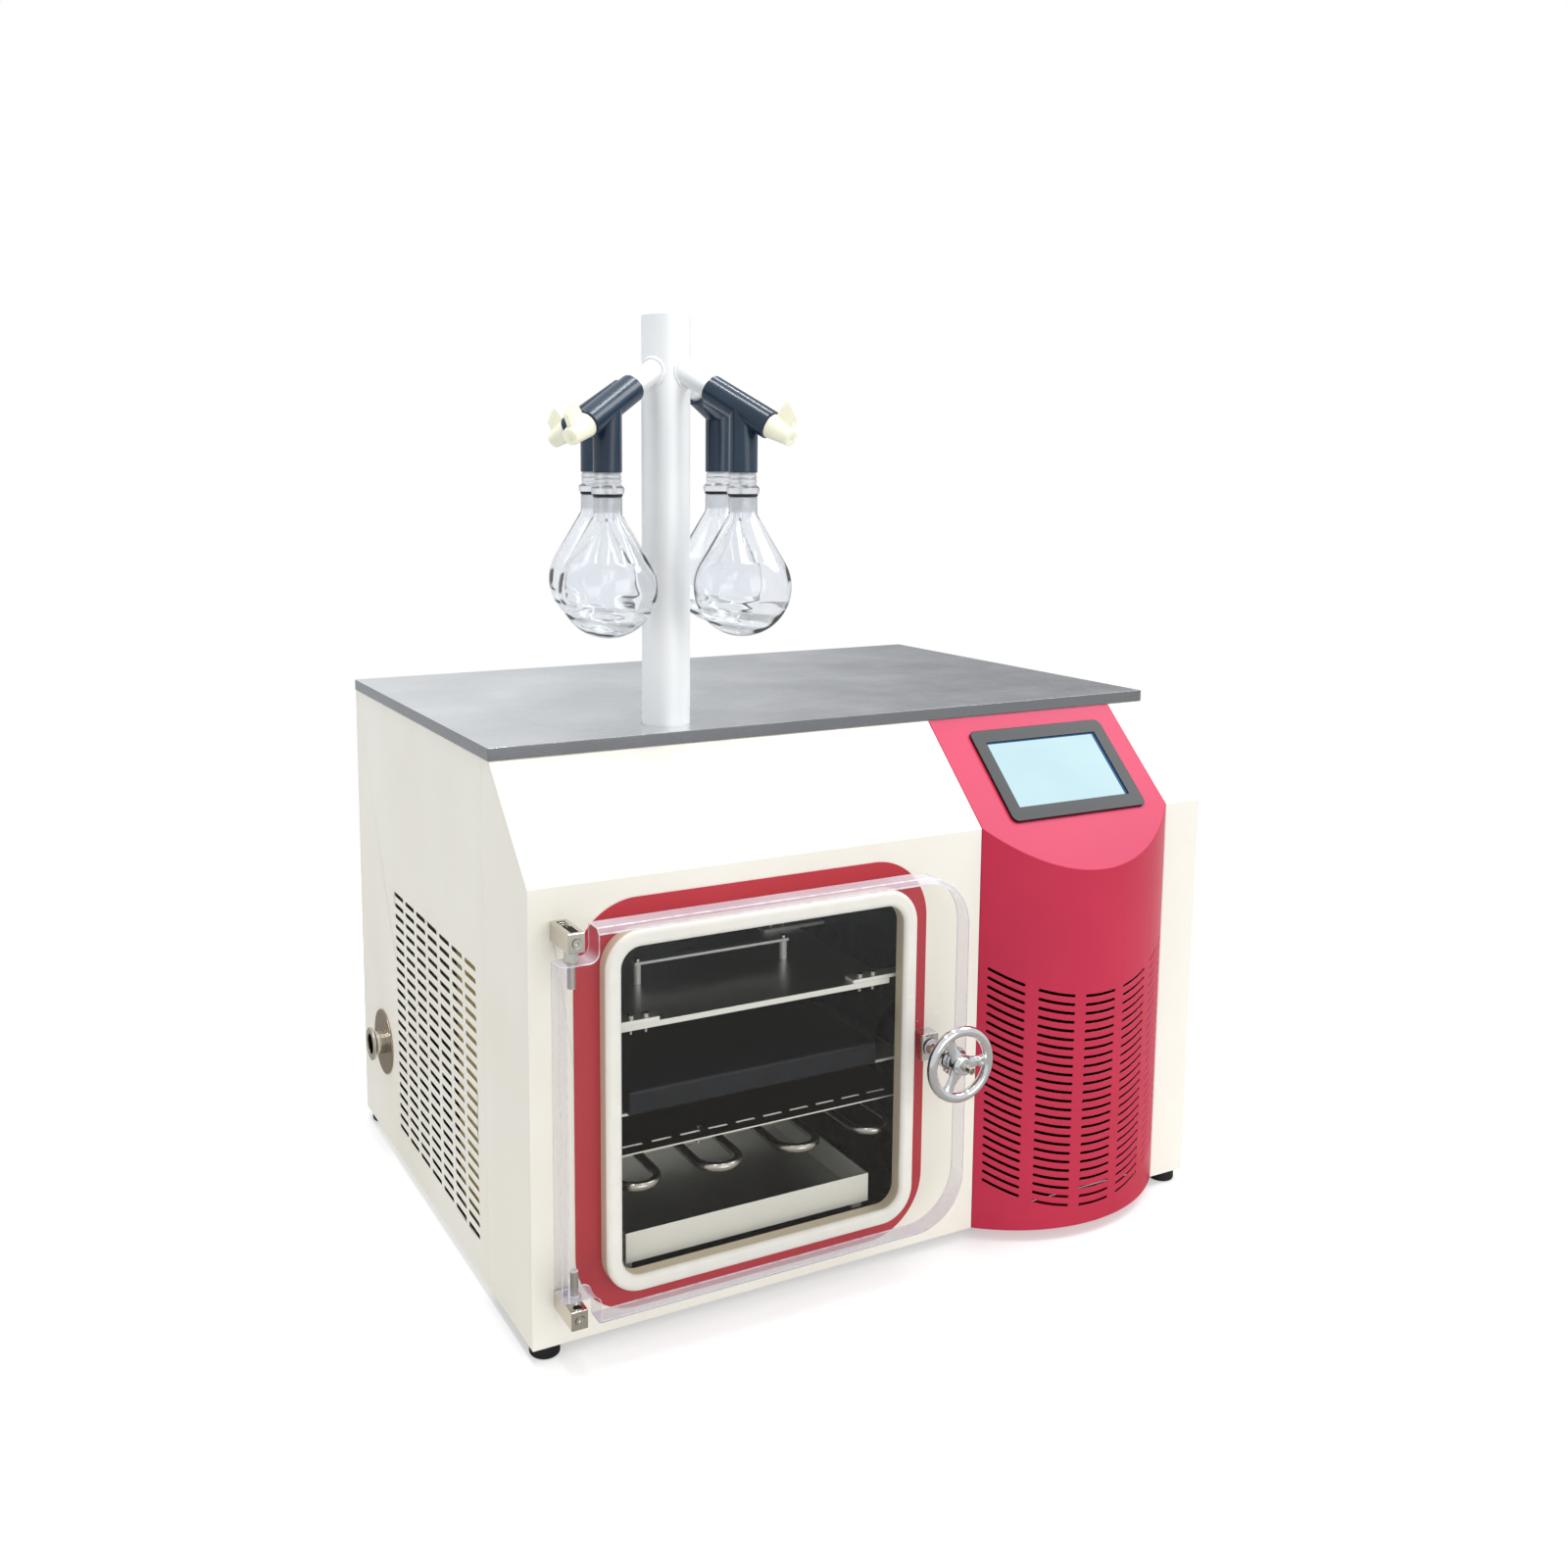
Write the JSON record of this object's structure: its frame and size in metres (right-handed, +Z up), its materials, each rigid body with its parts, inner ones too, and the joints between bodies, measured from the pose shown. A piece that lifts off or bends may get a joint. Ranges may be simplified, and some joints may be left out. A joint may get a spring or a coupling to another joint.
{
  "type": "freeze dryer",
  "caption": "Bench-top freeze dryer: sheet-metal cabinet, drying chamber behind a clear screw-clamped door, flask manifold on top and a control console.",
  "frame": {"origin": "under the middle of the whole machine, on the bench that its feet stand on", "axes": "+Z up, +Y towards the rear, +X to the right seen from the front"},
  "size_m": [0.839, 0.691, 0.991],
  "materials": {
    "cabinet_paint": "powder coat, satin",
    "surround_paint": "powder coat, satin",
    "console_paint": "powder coat, fine texture",
    "stainless_sheet": "brushed",
    "chamber_steel": "dark, bead-blasted",
    "aluminium": "satin",
    "chrome": "polished",
    "valve_rubber": "smooth",
    "foot_rubber": "matt",
    "seal_silicone": "smooth",
    "ivory_plastic": "polished",
    "clear_acrylic": "clear, polished",
    "borosilicate": "clear",
    "heater_plate": "dark anodised",
    "bezel_plastic": "gloss",
    "display": "lit panel",
    "circuit_board": "solder mask",
    "foam": "rigid foam",
    "compressor_paint": "black enamel",
    "fan_plastic": "moulded",
    "motor_steel": "plated"
  },
  "bodies": {
    "cabinet": {"base_tray": "stainless_sheet", "front_shell": "cabinet_paint", "left_panel": "cabinet_paint", "right_panel": "cabinet_paint", "rear_panel": "cabinet_paint", "top_plate": "stainless_sheet", "feet": "foot_rubber", "red_surround": "surround_paint", "chamber_liner": "chamber_steel", "insulation_jacket": "foam", "door_seal": "seal_silicone", "console_shell": "console_paint", "screen_bezel": "bezel_plastic", "screen_glass": "display", "control_board": "circuit_board", "vacuum_port_plate": "stainless_sheet", "vacuum_port": "chrome", "vacuum_pipe": "chrome", "hinge_blocks": "chrome", "hinge_pins": "chrome", "fixing_screws": "chrome", "latch_nut": "chrome", "manifold_post": "aluminium", "post_flange": "aluminium", "joint_rings": "valve_rubber", "evaporator_coil": "aluminium", "top_shelf": "stainless_sheet", "shelf_handle": "stainless_sheet", "shelf_brackets": "stainless_sheet", "heating_shelf": "heater_plate", "baffle_plate": "stainless_sheet", "drip_tray": "stainless_sheet", "compressor": "compressor_paint", "condenser": "aluminium", "fan_shroud": "fan_plastic", "fan_motor": "motor_steel", "power_inlet": "fan_plastic", "valve_body_1": "valve_rubber", "glass_adapter_1": "borosilicate", "flask_1": "borosilicate", "valve_body_2": "valve_rubber", "glass_adapter_2": "borosilicate", "flask_2": "borosilicate", "valve_body_3": "valve_rubber", "glass_adapter_3": "borosilicate", "flask_3": "borosilicate", "valve_body_4": "valve_rubber", "glass_adapter_4": "borosilicate", "flask_4": "borosilicate"},
    "door": {"door_plate": "clear_acrylic", "screw_bushing": "chrome"},
    "clamp": {"clamp_washer": "chrome"},
    "wheel": {"handwheel": "chrome", "clamp_screw": "chrome"},
    "fan": {"fan": "fan_plastic"},
    "switch": {"power_switch": "fan_plastic"},
    "knob_1": {"valve_knob_1": "ivory_plastic"},
    "knob_2": {"valve_knob_2": "ivory_plastic"},
    "knob_3": {"valve_knob_3": "ivory_plastic"},
    "knob_4": {"valve_knob_4": "ivory_plastic"}
  },
  "joints": [
    {"name": "door_hinge", "type": "hinge", "parent": "cabinet", "child": "door", "pos_m": [-0.3715, -0.289, 0.239], "axis": [0, 0, -1], "range_deg": [0, 110]},
    {"name": "clamp_slide", "type": "slide", "parent": "door", "child": "clamp", "axis": [0, 1, 0], "range_m": [0, 0.009]},
    {"name": "wheel_turn", "type": "hinge", "parent": "clamp", "child": "wheel", "pos_m": [0.037, -0.3255, 0.2395], "axis": [0, 1, 0], "range_deg": [0, 1080]},
    {"name": "fan_spin", "type": "hinge", "parent": "cabinet", "child": "fan", "pos_m": [0.239, -0.1775, 0.176], "axis": [0, 1, 0], "continuous": true},
    {"name": "switch_rock", "type": "hinge", "parent": "cabinet", "child": "switch", "pos_m": [0.3285, 0.3365, 0.12], "axis": [-1, 0, 0], "range_deg": [0, 16]},
    {"name": "knob_1_turn", "type": "hinge", "parent": "cabinet", "child": "knob_1", "pos_m": [-0.12986, -0.22015, 0.87989], "axis": [0.4096, -0.7868, -0.4617], "range_deg": [0, 180]},
    {"name": "knob_2_turn", "type": "hinge", "parent": "cabinet", "child": "knob_2", "pos_m": [-0.07585, -0.04886, 0.87989], "axis": [0.7868, 0.4096, -0.4617], "range_deg": [0, 180]},
    {"name": "knob_3_turn", "type": "hinge", "parent": "cabinet", "child": "knob_3", "pos_m": [-0.24714, 0.00515, 0.87989], "axis": [-0.4096, 0.7868, -0.4617], "range_deg": [0, 180]},
    {"name": "knob_4_turn", "type": "hinge", "parent": "cabinet", "child": "knob_4", "pos_m": [-0.30115, -0.16614, 0.87989], "axis": [-0.7868, -0.4096, -0.4617], "range_deg": [0, 180]}
  ],
  "couplings": [
    {"joint": "clamp_slide", "follows": "wheel_turn", "m_per_rad": 0.0004774}
  ]
}
